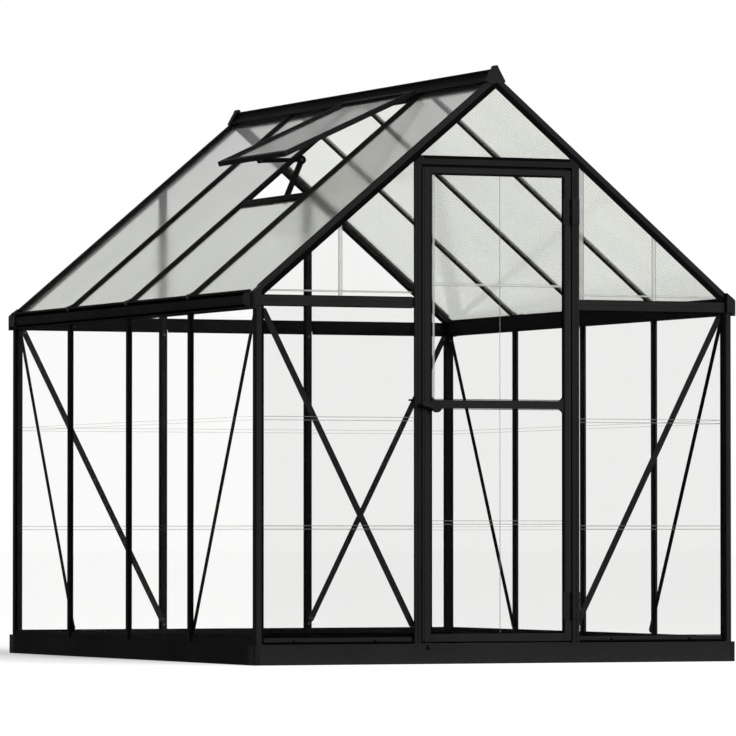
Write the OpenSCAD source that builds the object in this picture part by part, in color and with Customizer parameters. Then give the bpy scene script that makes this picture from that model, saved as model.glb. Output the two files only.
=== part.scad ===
// Small aluminium greenhouse with clear walls, a pitched twin-wall roof, a hinged door
// and an open roof window.
// X runs across the front, Y runs from the door to the rear, Z points up from the ground. Sizes in mm.

/* [Greenhouse] */
// Width over the base
base_w = 1850; // [1500:10:2600]
// Length over the base
base_l = 2470; // [2000:10:4000]
// Height from the ground to the underside of the gutters
eave_h = 1242; // [1050:0.5:1500]
// Roof slope in degrees
roof_pitch = 40; // [30:1:48]
// Distance between the wall posts along each side
bay = 606; // [480:1:660]

/* [Base] */
// Height of the base channel
base_h = 71; // [40:1:120]
// Thickness of the base channel
base_t = 2; // [1:0.5:3]
// Depth of the base channel flanges
base_flange = 45; // [40:1:60]
// Overhang of the base outside the wall posts
base_lip = 9.5; // [6:0.5:14]
// Length of a base corner along the front
corner_front = 21; // [16:1:40]
// Length of a base corner along the side
corner_side = 50; // [48:1:90]
// Wall of a base corner
corner_wall = 3; // [2:0.5:5]
// Radius of the outer edge of a base corner
corner_r = 5; // [2:0.5:8]

/* [Wall frame] */
// Side of the square corner posts
corner_post = 29.5; // [24:0.5:36]
// Edge radius of the corner posts
corner_post_r = 4; // [2:0.5:8]
// Width of the outer cap of a side wall post
post_w = 22; // [18:1:34]
// Depth of the outer cap of a side wall post
post_cap = 3.5; // [2.5:0.5:7]
// Width of the inner flange of a side wall post
post_back_w = 10; // [8:1:20]
// Distance that the side wall posts stand out from the corner posts
post_proud = 5; // [0:0.5:8]
// Depth of the inner flange of a side wall post
post_fin = 6; // [2:0.5:7]
// Thickness of the inner flange of the end wall posts and of the sill rails
post_back = 2; // [1.5:0.5:4]
// Width of the web between two panel grooves
web_w = 6; // [4:0.5:8]
// Width of a wall panel groove
groove_w = 4.5; // [4.5:0.5:5]
// Depth of a wall panel groove
groove_d = 8; // [6:0.5:10]
// Distance from the outside of the corner posts to the panel groove of the end walls
end_groove = 15; // [14:0.5:17]
// Width of the rear posts
rear_post_w = 30; // [20:1:34]
// Distance of the rear posts from the middle
rear_post_x = 302.5; // [240:0.5:360]
// Height of the outer side of the front sill rails
sill_h = 22.5; // [16:0.5:40]
// Height of the outer side of the side and rear sill rails
sill_back_h = 18; // [16:0.5:40]
// Height of the inner side of the sill rails
sill_in = 12.5; // [10:0.5:16]
// Height of the front gable rails
gable_rail_h = 36; // [30:1:60]
// Height of the rear gable rails
rear_rail_h = 42.5; // [30:0.5:60]
// Drop of the inner lip of the rear gable rails
rear_rail_drop = 11.5; // [4:0.5:20]
// Width of the flat cross braces
brace_w = 22; // [12:1:26]
// Thickness of the flat cross braces
brace_t = 3; // [2:0.5:5]

/* [Panels] */
// Thickness of the clear wall sheets
sheet_t = 1; // [0.7:0.1:1.5]
// Height of the formed ribs in the clear sheets
rib_h = 1.5; // [0.5:0.1:1.5]
// Width of the formed ribs in the clear sheets
rib_w = 12; // [8:1:24]
// Height of the lower formed rib above the ground
rib_low = 476; // [300:1:560]
// Height of the upper formed rib above the ground
rib_high = 853; // [640:1:860]
// Height of the formed rib in the lower door sheet above the ground
door_rib = 493; // [300:1:560]
// Thickness of the twin-wall roof sheets
roof_t = 4; // [3:0.5:4]
// Play of a sheet at the bottom of a groove
sheet_play = 2; // [1:0.5:3]

/* [Roof] */
// Height of a gable rafter across its face
rafter_h = 36.5; // [34:0.5:60]
// Depth of a gable rafter
rafter_d = 24.5; // [22:0.5:36]
// Width of the roof bars
bar_w = 22; // [18:1:34]
// Height of a roof bar above the roof sheet
bar_cap = 9.5; // [6:0.5:12]
// Depth of a roof bar below the roof sheet groove
bar_back = 4.5; // [4:0.5:24]
// Width of the inner part of a roof bar
bar_back_w = 16; // [12:1:20]
// Roof sheet groove
roof_groove = 4.5; // [4.5:0.5:5]
// Length of a ridge wing down the slope
ridge_wing = 40; // [40:1:60]
// Thickness of the ridge wings
ridge_t = 4; // [3:0.5:6]
// Height of the rib on top of the ridge
ridge_rib = 22.5; // [20:0.5:40]
// Outward reach of the gutter from the wall
gutter_out = 14.5; // [14:0.5:22]
// Wall of the gutter
gutter_t = 2.5; // [2:0.5:4]
// Height of the gutter front above the wall posts
gutter_h = 55.5; // [46:0.5:57]
// Drop of the gutter front below the top of the wall posts
gutter_drop = 7.5; // [3:0.5:14]
// Drop of the inner lip of the gutter below the top of the wall posts
gutter_lip = 11.5; // [3:0.5:16]

/* [Roof window] */
// Opening angle of the roof window above the roof slope
window_open = 15.2; // [6:0.1:24]
// Length of the roof window down the slope
window_len = 566; // [480:1:620]
// Reach of the window leaf past the middle of the roof bars beside it
window_over = 13.5; // [0:0.5:16]
// Width of the rails of the window leaf
window_rail = 22; // [18:1:30]
// Thickness of the window leaf frame
window_t = 18; // [14:1:24]
// Depth of the fixed sill under the window
window_sill = 28; // [22:1:40]
// Width of the upper stay arm
stay_w = 16; // [12:1:20]
// Width of the lower stay arm
stay_low_w = 22; // [14:1:26]
// Radius of the stay elbow
stay_elbow = 16; // [14:1:20]
// Thickness of the stay arms
stay_t = 4; // [3:0.5:6]
// Reach of the sill bracket up the slope
stay_reach = 18; // [14:1:40]

/* [Door] */
// Clear width between the door posts
door_w = 578; // [520:1:640]
// Height of the beam over the door
header_h = 31.3; // [24:0.1:40]
// Gap between the door leaf and the beam over it
head_gap = 10.5; // [5.5:0.5:14]
// Width of the door stop
stop_w = 10; // [8:1:14]
// Width of the door posts
door_post_w = 29; // [26:0.5:36]
// Gap around the door leaf
door_gap = 6; // [5.5:0.5:8]
// Thickness of the door leaf
leaf_t = 17; // [15:0.5:17]
// Width of the door stiles
stile_w = 30; // [26:1:40]
// Height of the bottom rail of the door
door_rail = 27; // [24:1:40]
// Height of the top rail of the door
top_rail = 23.5; // [20:0.5:40]
// Height of the middle rail of the door
mid_rail = 29; // [28:1:36]
// Height of the middle of the door above the ground
mid_rail_z = 906.5; // [896:0.5:980]
// Flare of the middle rail at its ends
mid_flare = 11; // [6:1:14]
// Depth of the panel grooves in the door
door_groove = 4; // [3:0.5:5]
// Height of a hinge
hinge_h = 93; // [60:1:120]
// Distance of the lower hinge from the bottom of the leaf
hinge_low = 78; // [60:1:160]
// Distance of the upper hinge from the top of the leaf
hinge_high = 97.5; // [60:0.5:160]
// Radius of a hinge knuckle
knuckle_r = 5.5; // [5:0.5:6]
// Radius of a hinge pin
pin_r = 2.5; // [2:0.1:3]
// Gap between the pins and their bores
pin_gap = 0.4; // [0.3:0.1:0.6]

/* [Latch] */
// Distance of the latch spindle from the edge of the leaf
latch_in = 41; // [39:1:80]
// Drop of the latch spindle below the middle of the middle rail
latch_drop = 5; // [0:0.5:5]
// Radius of the handle boss
boss_r = 19; // [15:0.5:22]
// Radius of the latch spindle
spindle_r = 5; // [4:0.1:5]
// Length of the outside handle
handle_len = 56; // [40:1:70]
// Thickness of the outside handle
handle_t = 11; // [8:1:14]
// Reach of the inside latch lever
latch_arm = 40; // [30:1:44]
// Thickness of the inside latch lever
arm_t = 6; // [4:0.5:8]
// Thickness of the round plate under the handle
rose_t = 4; // [2:0.5:6]
// Radius of the round plate under the handle
rose_r = 14; // [12:0.5:15]

/* [Hidden] */
$fn = 48;
big = 6000;
fit = 0.3;
joint = 0.2;
wall_x = base_w / 2 - base_lip;
wall_y = base_l / 2 - base_lip;
post_y = [-bay, 0, bay];
tan_p = tan(roof_pitch);
cos_p = cos(roof_pitch);
sin_p = sin(roof_pitch);
// side wall: distances inward from the outside of the posts
side_go = post_cap;
side_gi = side_go + groove_w;
side_in = side_gi + post_fin;
side_sheet = side_go + groove_w / 2;
// end walls
end_gi = end_groove + groove_w;
wall_in = end_gi + post_back;
end_sheet = end_groove + groove_w / 2;
rafter_out = end_groove - 2.5;
rafter_in = rafter_out + rafter_d;
// roof plane and its layers, measured square to the slope
roof_lift = 55.1;
apex_z = eave_h + roof_lift + wall_x * tan_p;
roof_go = bar_cap;
roof_gi = bar_cap + roof_groove;
roof_in = roof_gi + bar_back;
sheet_out = roof_go + (roof_groove - roof_t) / 2;
seat_w = roof_gi + fit;
gable_z = eave_h + gable_rail_h;
rear_gable_z = eave_h + rear_rail_h;
rafter_step = 2;
rafter_rise = 7;
// gutter
gutter_in = 18.5;
gutter_wall = 3;
gutter_floor = 9;
gutter_end = wall_y - 20.5;
// slope lengths
hub_w = 8;
lower_wing = ridge_wing + 8;
bar_u0 = 24;
bar_u1 = (wall_x - 2) / cos_p;
back_u0 = lower_wing + 4;
back_u1 = (wall_x - gutter_in - 0.5 + roof_gi * sin_p) / cos_p;
sheet_u0 = 24;
sheet_u1 = (wall_x - 6 + roof_go * sin_p) / cos_p;
// window
win_y0 = -bay - window_over;
win_y1 = window_over;
win_mid = -bay / 2;
hinge_u = ridge_wing + 10;
hinge_w = 3.2;
stay_eye = 1.5;
stay_head = 1;
stay_drop = stay_w / 2 + stay_eye + 0.5;
stay_in = 32;
stay_back = 128;
stay_down = 98;
bead_r = 3;
win_x0 = 2;
sill_u0 = hinge_u + window_len * cos(window_open) - 8 + 18;
sill_u1 = sill_u0 + window_sill;
// door
door_head = roof_z(door_w / 2, rafter_h) - header_h;
leaf_x = door_w / 2 - door_gap;
leaf_z0 = base_h + door_gap + 0.6;
leaf_z1 = door_head - head_gap;
leaf_front = 3.5;
leaf_back = leaf_t - leaf_front;
post_front = 1.5;
post_lip = 6;
post_step = 6;
door_side = door_w / 2 + door_post_w - post_step;
stop_t = 2.5;
head_stop = head_gap + 4;
stile_step = 7;
glass_x = leaf_x - stile_w;
door_sheet = leaf_back - leaf_t / 2;
mid_z0 = mid_rail_z - mid_rail / 2;
mid_z1 = mid_rail_z + mid_rail / 2;
hinge_x = door_w / 2 - door_gap / 2;
hinge_s = leaf_front + 8;
hinge_z = [leaf_z0 + hinge_low, leaf_z1 - hinge_high - hinge_h];
hinge_plate = 3;
knuckle_gap = 1;
latch_back = wall_in + 6;
latch_x = leaf_x - latch_in;
handle_z = mid_rail_z - latch_drop;

// section in X and Z, drawn out along Y
module run_y(y0, y1) {
    translate([0, y1, 0]) rotate([90, 0, 0]) linear_extrude(y1 - y0) children();
}

// section in Y and Z, drawn out along X
module run_x(x0, x1) {
    translate([x0, 0, 0]) rotate([90, 0, 90]) linear_extrude(x1 - x0) children();
}

module both_x() {
    children();
    mirror([1, 0, 0]) children();
}

module both_y() {
    children();
    mirror([0, 1, 0]) children();
}

module to_left() {
    mirror([1, 0, 0]) children();
}

module to_front() {
    mirror([0, 1, 0]) children();
}

// frame of the right roof slope: x down the slope, y along the house, z out of the roof
module slope() {
    translate([0, 0, apex_z]) rotate([0, roof_pitch, 0]) children();
}

// everything above a plane that lies the given depth under the roof surface, on both slopes
module above_roof(depth) {
    both_x() slope() translate([-big, -big, -depth]) cube([2 * big, 2 * big, big]);
}

// point on a ridge section from slope measures
function on_slope(u, w) = [u * cos_p + w * sin_p, -u * sin_p + w * cos_p];
function mirror_pts(p) = [for (i = [len(p) - 1 : -1 : 0]) [-p[i][0], p[i][1]]];
// underside line of the roof at a depth, as a height over the ground
function roof_z(x, depth) = apex_z - depth / cos_p - tan_p * abs(x);

// channel with an open top that takes the lower edge of a sheet
function sill_pts(go, gi, fin, h) =
    [[-go + fin, 0], [-go + fin, h], [-go, h], [-go, 7], [-gi, 7], [-gi, sill_in],
    [-gi - fin, sill_in], [-gi - fin, 0]];

// flat sheet with formed ribs, as a closed strip in depth and height
function rib_side(z, d, s) = [[s, z - rib_w / 2 - d], [s + rib_h, z - rib_w / 2 + rib_h],
    [s + rib_h, z + rib_w / 2 - rib_h], [s, z + rib_w / 2 + d]];
function flip(p) = [for (i = [len(p) - 1 : -1 : 0]) p[i]];
function sheet_side(z0, z1, ribs, d, s) = concat([[s, z0]],
    [for (r = ribs) if (r > z0 + rib_w && r < z1 - rib_w) each rib_side(r, d, s)], [[s, z1]]);
function sheet_pts(z0, z1, ribs) = concat(sheet_side(z0, z1, ribs, 0, sheet_t / 2),
    flip(sheet_side(z0, z1, ribs, -0.4, -sheet_t / 2)));
ribs = [rib_low, rib_high];

// extruded post with a panel groove on each side, outer cap towards +X
module post_section(cap_w, cap0, go, gi, back, back_w) {
    c = 1.5;
    polygon([[-cap0, -cap_w / 2 + c], [-cap0, cap_w / 2 - c], [-cap0 - c, cap_w / 2], [-go, cap_w / 2],
        [-go, web_w / 2], [-gi, web_w / 2], [-gi, back_w / 2], [-back, back_w / 2],
        [-back, -back_w / 2], [-gi, -back_w / 2], [-gi, -web_w / 2], [-go, -web_w / 2],
        [-go, -cap_w / 2], [-cap0 - c, -cap_w / 2]]);
}

// base
module base_section() {
    polygon([[0, 0], [base_flange, 0], [base_flange, base_t], [base_t, base_t], [base_t, base_h - base_t],
        [base_flange, base_h - base_t], [base_flange, base_h], [0, base_h]]);
}

module base_front() {
    color("#1d1d1e")
    run_x(-base_w / 2 + corner_front, base_w / 2 - corner_front)
        translate([-base_l / 2, 0]) base_section();
}

module base_rear() {
    color("#1d1d1e") to_front()
    run_x(-base_w / 2 + corner_front, base_w / 2 - corner_front)
        translate([-base_l / 2, 0]) base_section();
}

module base_left() {
    color("#1d1d1e")
    run_y(-base_l / 2 + corner_side, base_l / 2 - corner_side)
        translate([-base_w / 2, 0]) base_section();
}

module base_right() {
    color("#1d1d1e") to_left()
    run_y(-base_l / 2 + corner_side, base_l / 2 - corner_side)
        translate([-base_w / 2, 0]) base_section();
}

module base_corner() {
    translate([-base_w / 2, -base_l / 2, 0])
    difference() {
        union() {
            linear_extrude(base_h)
                polygon([[corner_r, 0], [corner_front, 0], [corner_front, base_flange],
                    [base_flange, base_flange], [base_flange, corner_side], [0, corner_side], [0, corner_r]]);
            translate([corner_r, corner_r, 0]) cylinder(r = corner_r, h = base_h);
        }
        translate([corner_wall, corner_wall, -1])
            cube([corner_front - 2 * corner_wall, corner_side - 2 * corner_wall, base_h - corner_wall + 1]);
    }
}

module base_corners() {
    color("#19191a") both_x() both_y() base_corner();
}

// sill rails
module end_sill(x0, x1, h) {
    run_x(x0, x1)
        translate([wall_y, base_h]) polygon(sill_pts(end_groove, end_gi, post_back, h));
}

module front_sills() {
    color("#202021") to_front() both_x()
        end_sill(door_side, wall_x - corner_post, sill_h);
}

module rear_sills() {
    color("#202021") {
        both_x() end_sill(rear_post_x + rear_post_w / 2, wall_x - corner_post, sill_back_h);
        end_sill(-rear_post_x + rear_post_w / 2, rear_post_x - rear_post_w / 2, sill_back_h);
    }
}

module side_sills() {
    ys = concat([-wall_y + corner_post - post_w / 2], post_y, [wall_y - corner_post + post_w / 2]);
    for (i = [0 : len(ys) - 2])
        run_y(ys[i] + post_w / 2, ys[i + 1] - post_w / 2)
            translate([wall_x, base_h]) polygon(sill_pts(side_go, side_gi, post_back, sill_back_h));
}

module right_sills() {
    color("#202021") side_sills();
}

module left_sills() {
    color("#202021") to_left() side_sills();
}

// posts
module corner_posts() {
    c = corner_post;
    r = corner_post_r;
    color("#232324") both_x() both_y()
    translate([wall_x, wall_y, base_h])
    difference() {
        union() {
            linear_extrude(eave_h - base_h)
                polygon([[-c, -c], [0, -c], [0, -r], [-r, 0], [-c, 0]]);
            translate([-r, -r, 0]) cylinder(r = r, h = eave_h - base_h);
        }
        translate([-side_gi, -c - 1, -1]) cube([groove_w, groove_d + 1, eave_h]);
        translate([-c - 1, -end_gi, -1]) cube([groove_d + 1, groove_w, eave_h]);
    }
}

module side_posts() {
    for (y = post_y)
        translate([wall_x, y, base_h])
            linear_extrude(eave_h - base_h)
                post_section(post_w, -post_proud, side_go, side_gi, side_in, post_back_w);
}

module right_wall_posts() {
    color("#232324") side_posts();
}

module left_wall_posts() {
    color("#232324") to_left() side_posts();
}

module rear_posts() {
    color("#232324")
    difference() {
        both_x() translate([rear_post_x, wall_y, base_h]) rotate([0, 0, 90])
            linear_extrude(apex_z - base_h)
                post_section(rear_post_w, 1, end_groove, end_gi, wall_in, rear_post_w - 6);
        above_roof(rafter_h);
    }
}

module door_posts() {
    x0 = door_w / 2;
    x1 = x0 + door_post_w;
    g = door_side - groove_d;
    c = 1.5;
    f = post_front;
    color("#242425") to_front() both_x()
    translate([0, wall_y, base_h])
        linear_extrude(door_head - base_h)
            polygon([[x0 - stop_w, -wall_in], [door_side, -wall_in], [door_side, -end_gi], [g, -end_gi],
                [g, -end_groove], [door_side, -end_groove], [door_side, -post_lip], [x1, -post_lip],
                [x1, -f - c],
                [x1 - c, -f], [x0 + 17, -f], [x0 + 15.5, -f - 1.5], [x0 + 14, -f], [x0 + c, -f], [x0, -f - c],
                [x0, -wall_in + stop_t], [x0 - stop_w, -wall_in + stop_t]]);
}

module door_header() {
    x1 = door_w / 2 + door_post_w;
    top = roof_z(door_w / 2, rafter_h);
    xs = door_w / 2 - stop_w - joint;
    color("#242425") to_front()
    difference() {
        union() {
            run_y(wall_y - wall_in, wall_y - post_front)
                polygon([[-x1, door_head], [x1, door_head], [x1, roof_z(x1, rafter_h)], [door_w / 2, top],
                    [-door_w / 2, top], [-x1, roof_z(x1, rafter_h)]]);
            translate([-xs, wall_y - wall_in, door_head - head_stop]) cube([2 * xs, stop_t, head_stop + 1]);
        }
        translate([-big, wall_y - end_gi, top - groove_d]) cube([2 * big, groove_w, big]);
        both_x() translate([door_side, wall_y - wall_in - 1, door_head - 1])
            cube([big, wall_in + 1 - post_lip, big]);
        both_x() translate([door_side - groove_d, wall_y - end_gi, door_head - 1]) cube([big, groove_w, big]);
    }
}

// gutters
module gutter_section() {
    o = gutter_out;
    t = gutter_t;
    h = gutter_h;
    f = gutter_floor;
    g = gutter_in;
    function seat(s) = roof_lift - seat_w / cos_p - tan_p * s;
    polygon([[-side_go, 0], [-side_go + t, 0], [-side_go + t, f], [o - 3 - t, f], [o - 3 - t, -gutter_drop],
        [o - 3, -gutter_drop], [o - 3, f + 1], [o - 1.5, f + 3], [o, f + 3], [o, h * 0.55],
        [o - 1.3, h * 0.55 + 1.5],
        [o, h * 0.55 + 3], [o, h - 6.5], [o - 2.5, h], [o - 2.5 - t, h], [o - t, h - 7.5], [o - t, f + 4],
        [-g + gutter_wall, f + 4], [-g + gutter_wall, seat(-g + gutter_wall)], [-g, seat(-g)],
        [-g, -gutter_lip],
        [-g + t, -gutter_lip], [-g + t, f], [-side_gi - t, f], [-side_gi - t, 0],
        [-side_gi, 0], [-side_gi, f - 1], [-side_go, f - 1]]);
}

module gutter() {
    difference() {
        run_y(-gutter_end, gutter_end) translate([wall_x, eave_h]) gutter_section();
        both_y() translate([wall_x - gutter_in - 1, wall_y - corner_post - fit, eave_h - gutter_lip - 1])
            cube([gutter_t + 1.5, corner_post, gutter_lip + 1]);
    }
}

module right_gutter() {
    color("#202021") gutter();
}

module left_gutter() {
    color("#202021") to_left() gutter();
}

module gutter_end_cap() {
    o = gutter_out + 5;
    y1 = wall_y + 6.5;
    r = 14;
    top = 57;
    drop = 11;
    intersection() {
        union() {
            run_y(gutter_end + joint, y1) translate([wall_x, eave_h])
                polygon([[-gutter_in + fit, 0], [fit, 0], [fit, -drop], [o, -drop], [o, top - o * tan_p],
                    [-gutter_in + fit, top + 13]]);
            translate([wall_x + gutter_out + fit, gutter_end - 33, eave_h + gutter_h / 2 - 5])
                rotate([0, 90, 0]) cylinder(r = 21, h = o - gutter_out - fit);
            translate([wall_x + gutter_out + fit, gutter_end - 33, eave_h + gutter_h / 2 - 26])
                cube([o - gutter_out - fit, 34, 42]);
        }
        translate([wall_x, 0, 0]) union() {
            translate([-60, 0, 0]) cube([60 + o - r, y1, big]);
            translate([-60, 0, 0]) cube([60 + o, y1 - r, big]);
            translate([o - r, y1 - r, 0]) cylinder(r = r, h = big);
        }
    }
}

module gutter_end_caps() {
    color("#171718") both_x() both_y() gutter_end_cap();
}

// gable rails and rafters
module gable_rail(x0, x1, h, drop) {
    g = groove_d;
    run_x(x0, x1) translate([wall_y, eave_h])
        polygon([[-8, 1.5], [-9.5, 0], [-end_groove, 0], [-end_groove, g], [-end_gi, g], [-end_gi, -drop],
            [-wall_in, -drop], [-wall_in, h], [-end_gi, h], [-end_gi, h - g], [-end_groove, h - g],
            [-end_groove, h], [-9.5, h], [-8, h - 1.5], [-8, h / 2 + 2], [-9.2, h / 2], [-8, h / 2 - 2]]);
}

module front_gable_rails() {
    color("#232324") to_front() both_x()
        gable_rail(door_side, wall_x - gutter_in - 0.5, gable_rail_h, 0);
}

module rear_gable_rails() {
    h = rear_rail_h;
    d = rear_rail_drop;
    color("#232324") difference() {
        union() {
            both_x() gable_rail(rear_post_x + rear_post_w / 2, wall_x - gutter_in - 0.5, h, d);
            gable_rail(-rear_post_x + rear_post_w / 2, rear_post_x - rear_post_w / 2, h, d);
        }
        both_x() translate([wall_x - corner_post - fit, wall_y - wall_in - 1, eave_h - d - 1])
            cube([corner_post, wall_in, d + 1]);
    }
}

module rafter_pair(z0) {
    o = rafter_out;
    i = rafter_in;
    both_x()
    intersection() {
        slope() run_x(-2 * rafter_h, big / 2) translate([wall_y, 0])
            polygon([[-o, 0], [-o, -27], [-o - 0.8, -28], [-o - 0.8, -rafter_h], [-end_groove, -rafter_h],
                [-end_groove, -rafter_h + groove_d + 1], [-end_gi, -rafter_h + groove_d + 1],
                [-end_gi, -rafter_h + rafter_step], [-i, -rafter_h + rafter_rise], [-i, -roof_gi],
                [-i + groove_d + 1, -roof_gi],
                [-i + groove_d + 1, -roof_go], [-i, -roof_go], [-i, 0]]);
        translate([0.3, 0, z0])
            cube([wall_x - gutter_in - 0.8, big, big]);
    }
}

module rear_rafters() {
    color("#262627") rafter_pair(rear_gable_z);
}

module front_rafters() {
    color("#262627") to_front() rafter_pair(gable_z);
}

// ridge
function ridge_top(g) =
    [[0, ridge_rib + g], [4, ridge_rib + g], [6 + g, ridge_rib - 2 + g], [6 + g, ridge_rib - 8],
    [3.5 + g, ridge_rib - 11], on_slope(8 + g, ridge_t + g), on_slope(ridge_wing + g, ridge_t + g),
    on_slope(ridge_wing + g, 0)];

module ridge_beam() {
    hub_u = (hub_w) / cos_p;
    hub_low = (hub_w + roof_gi * sin_p) / cos_p;
    low = roof_gi + 4;
    full = concat(ridge_top(0),
        [on_slope(hub_u, 0), on_slope(hub_low, -roof_gi), on_slope(lower_wing, -roof_gi),
        on_slope(lower_wing, -low), [0, -low / cos_p]]);
    color("#202021")
    translate([0, 0, apex_z])
        run_y(-wall_y + rafter_in, wall_y - rafter_in)
            polygon(concat(full, mirror_pts(full)));
}

module ridge_end_caps() {
    g = 1.5;
    knob_r = 8.5;
    knob = ridge_rib + 3;
    side = [[0, knob], [knob_r, knob], on_slope(ridge_wing + g, ridge_t + g)];
    seat = concat(side, [on_slope(ridge_wing + g, 0), [0, 0]]);
    plate = concat(side, [on_slope(ridge_wing + g, -6), on_slope(ridge_wing - 14, -20), [0, -20 / cos_p]]);
    color("#171718") both_y()
    translate([0, 0, apex_z]) {
        run_y(wall_y - rafter_in + joint, wall_y - rafter_out + 0.2)
            union() {
                polygon(concat(seat, mirror_pts(seat)));
                translate([0, knob]) circle(r = knob_r);
            }
        run_y(wall_y - rafter_out, wall_y - rafter_out + 4.5)
            union() {
                polygon(concat(plate, mirror_pts(plate)));
                translate([0, knob]) circle(r = knob_r);
            }
    }
}

// roof bars
module roof_bar() {
    c = 1.5;
    run_x(bar_u0, bar_u1)
        polygon([[-bar_w / 2 + c, 0], [bar_w / 2 - c, 0], [bar_w / 2, -c], [bar_w / 2, -roof_go],
            [web_w / 2, -roof_go], [web_w / 2, -roof_gi], [-web_w / 2, -roof_gi], [-web_w / 2, -roof_go],
            [-bar_w / 2, -roof_go], [-bar_w / 2, -c]]);
    run_x(back_u0, back_u1)
        polygon([[-web_w / 2, -roof_go - 1], [web_w / 2, -roof_go - 1], [web_w / 2, -roof_gi],
            [bar_back_w / 2, -roof_gi], [bar_back_w / 2, -roof_in + c], [bar_back_w / 2 - c, -roof_in],
            [-bar_back_w / 2 + c, -roof_in], [-bar_back_w / 2, -roof_in + c], [-bar_back_w / 2, -roof_gi],
            [-web_w / 2, -roof_gi]]);
}

module right_roof_bars() {
    color("#232324")
    for (y = post_y)
        translate([0, y, 0]) slope() roof_bar();
}

module left_roof_bars() {
    color("#232324") to_left()
    for (y = post_y)
        translate([0, y, 0]) slope() roof_bar();
}

module roof_bar_clips() {
    color("#171718") both_x()
    for (y = post_y)
        translate([0, y, 0]) slope()
            run_y(-bar_w / 2 - 2, bar_w / 2 + 2)
                polygon([[bar_u1, -roof_go + 0.5], [bar_u1 + 8, -roof_go + 0.5], [bar_u1 + 8, -3],
                    [bar_u1 + 4, 2.5], [bar_u1 - 12, 2.5], [bar_u1 - 14, 0.02], [bar_u1, 0.02]]);
}

// flat braces, inside the sheets
module brace(p0, p1, d0, d1) {
    a = atan2(p1[1] - p0[1], p1[0] - p0[0]);
    l = norm(p1 - p0);
    run_y(d0, d1) translate(p0) rotate(a)
        polygon([[-6, 0], [2, brace_w / 2], [l - 2, brace_w / 2], [l + 6, 0],
            [l - 2, -brace_w / 2], [2, -brace_w / 2]]);
}

module end_braces() {
    side = wall_x - corner_post - fit;
    top = [side - 5.7, eave_h - 13];
    d0 = wall_y - wall_in - brace_t;
    d1 = wall_y - wall_in;
    color("#1c1c1d") both_x()
    intersection() {
        union() {
            to_front() brace(top, [door_w / 2 + 27.5, base_h + 62], d0, d1);
            brace(top, [rear_post_x + 6, base_h + 47], d0, d1);
        }
        translate([0, -big / 2, 0]) cube([side, big, big]);
    }
}

module side_braces() {
    y1 = wall_y - corner_post - 16;
    z1 = eave_h - gutter_lip - 8;
    color("#1c1c1d") both_x() both_y()
    translate([wall_x, 0, 0]) rotate([0, 0, 90])
        brace([y1, z1], [bay - 8, base_h + 27], side_in, side_in + brace_t);
}

// clear sheets of the walls
module right_sheets() {
    ys = concat([-wall_y + corner_post - groove_d - web_w / 2], post_y,
        [wall_y - corner_post + groove_d + web_w / 2]);
    for (i = [0 : len(ys) - 2])
        run_y(ys[i] + web_w / 2 + sheet_play, ys[i + 1] - web_w / 2 - sheet_play)
            translate([wall_x - side_sheet, 0])
                polygon(sheet_pts(base_h + 7 + fit, eave_h + gutter_floor - 1 - sheet_play, ribs));
}

module right_wall_panels() {
    color("#dfe6e6", 0.35) right_sheets();
}

module left_wall_panels() {
    color("#dfe6e6", 0.35) to_left() right_sheets();
}

module end_sheet_run(x0, x1) {
    run_x(x0, x1) translate([wall_y - end_sheet, 0])
        polygon(sheet_pts(base_h + 7 + fit, eave_h + groove_d - sheet_play, ribs));
}

module front_wall_panels() {
    color("#dfe6e6", 0.35) to_front() both_x()
        end_sheet_run(door_side - groove_d + sheet_play, wall_x - corner_post + groove_d - sheet_play);
}

module rear_wall_panels() {
    color("#dfe6e6", 0.35) {
        both_x()
            end_sheet_run(rear_post_x + web_w / 2 + sheet_play, wall_x - corner_post + groove_d - sheet_play);
        end_sheet_run(-rear_post_x + web_w / 2 + sheet_play, rear_post_x - web_w / 2 - sheet_play);
    }
}

// clear gable sheets, cut to the slope
module gable_side(x0, z0) {
    d = rafter_h - groove_d - 1 + sheet_play;
    x1 = min((apex_z - d / cos_p - z0) / tan_p, wall_x - gutter_in - 12);
    polygon([[x0, z0], [x1, z0], [x1, roof_z(x1, d)], [x0, roof_z(x0, d)]]);
}

module gable_mid(x0, z0) {
    d = rafter_h - groove_d - 1 + sheet_play;
    polygon([[-x0, z0], [x0, z0], [x0, roof_z(x0, d)], [0, roof_z(0, d)], [-x0, roof_z(x0, d)]]);
}

module front_gable_panels() {
    y0 = wall_y - end_sheet - sheet_t / 2;
    z0 = gable_z - groove_d + fit;
    head = roof_z(door_w / 2, rafter_h) - groove_d + fit;
    color("#dfe6e6", 0.35) to_front() {
        run_y(y0, y0 + sheet_t) gable_mid(door_w / 2 - 8, head);
        both_x() run_y(y0, y0 + sheet_t)
            gable_side(door_side - groove_d + sheet_play, z0);
    }
}

module rear_gable_panels() {
    y0 = wall_y - end_sheet - sheet_t / 2;
    z0 = rear_gable_z - groove_d + fit;
    color("#dfe6e6", 0.35) {
        run_y(y0, y0 + sheet_t) gable_mid(rear_post_x - web_w / 2 - sheet_play, z0);
        both_x() run_y(y0, y0 + sheet_t) gable_side(rear_post_x + web_w / 2 + sheet_play, z0);
    }
}

// twin-wall roof sheets
module roof_sheet(u0, y0, y1) {
    slope() translate([u0, y0, -sheet_out - roof_t]) cube([sheet_u1 - u0, y1 - y0, roof_t]);
}

sheet_ends = concat([-wall_y + rafter_in - groove_d - 1 - web_w / 2], post_y,
    [wall_y - rafter_in + groove_d + 1 + web_w / 2]);

module right_roof_panels() {
    color("#c4c6be", 0.8)
    for (i = [0 : len(sheet_ends) - 2])
        roof_sheet(sheet_u0, sheet_ends[i] + web_w / 2 + sheet_play,
            sheet_ends[i + 1] - web_w / 2 - sheet_play);
}

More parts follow.
